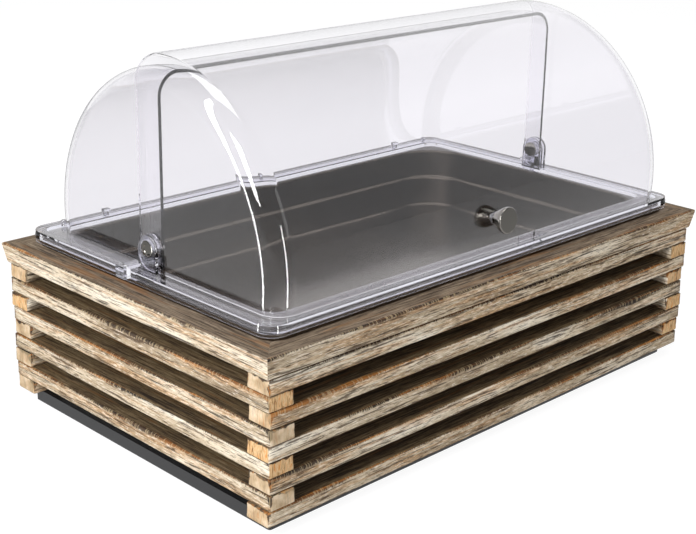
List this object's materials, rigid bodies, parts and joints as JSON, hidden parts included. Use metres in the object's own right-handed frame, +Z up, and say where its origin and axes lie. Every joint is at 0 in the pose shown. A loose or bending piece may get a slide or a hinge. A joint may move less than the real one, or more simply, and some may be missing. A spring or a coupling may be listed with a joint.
{
  "type": "roll-top buffet display",
  "caption": "Table-top buffet display: steel food pan hung in a crate of stacked wooden slats, under a clear barrel-shaped cover whose front half rolls back on two pins.",
  "frame": {"origin": "centre of the base board's underside, on the table", "axes": "+X along the length to the right as a guest sees it, -Y towards the guest (the side that opens), +Z up"},
  "size_m": [0.574, 0.366, 0.348],
  "materials": {
    "slat_wood": "aged, whitewashed",
    "frame_wood": "aged, whitewashed",
    "dowel_wood": "plain beech",
    "base_black": "black satin paint",
    "zinc_screw": "zinc-plated",
    "pan_steel": "satin stainless",
    "clear_plastic": "clear polycarbonate",
    "clear_washer": "clear plastic",
    "chrome_plate": "polished"
  },
  "bodies": {
    "crate": {"base_board": "base_black", "base_screws": "zinc_screw", "slat_front_1": "slat_wood", "slat_front_2": "slat_wood", "slat_front_3": "slat_wood", "slat_front_4": "slat_wood", "slat_front_5": "slat_wood", "slat_back_1": "slat_wood", "slat_back_2": "slat_wood", "slat_back_3": "slat_wood", "slat_back_4": "slat_wood", "slat_back_5": "slat_wood", "slat_left_1": "slat_wood", "slat_left_2": "slat_wood", "slat_left_3": "slat_wood", "slat_left_4": "slat_wood", "slat_right_1": "slat_wood", "slat_right_2": "slat_wood", "slat_right_3": "slat_wood", "slat_right_4": "slat_wood", "corner_dowels": "dowel_wood", "frame_dowels": "dowel_wood", "mitre_splines": "dowel_wood", "frame_front": "frame_wood", "frame_right": "frame_wood", "frame_back": "frame_wood", "frame_left": "frame_wood"},
    "food_pan": {"pan": "pan_steel"},
    "lid": {"cover_rail": "clear_plastic", "hinge_bracket_left": "clear_plastic", "hinge_bracket_right": "clear_plastic", "pivot_pin_left": "chrome_plate", "pivot_pin_right": "chrome_plate", "rear_cover": "clear_plastic"},
    "roll_cover": {"front_cover": "clear_plastic", "knob": "chrome_plate", "knob_screw": "zinc_screw", "knob_washer": "clear_washer"}
  },
  "joints": [
    {"name": "pan_lift", "type": "slide", "parent": "crate", "child": "food_pan", "axis": [0, 0, 1], "range_m": [0, 0.08]},
    {"name": "lid_lift", "type": "slide", "parent": "food_pan", "child": "lid", "axis": [0, 0, 1], "range_m": [0, 0.06]},
    {"name": "roll_top", "type": "hinge", "parent": "lid", "child": "roll_cover", "pos_m": [0, 0, 0.1891], "axis": [-1, 0, 0], "range_deg": [0, 92]}
  ]
}
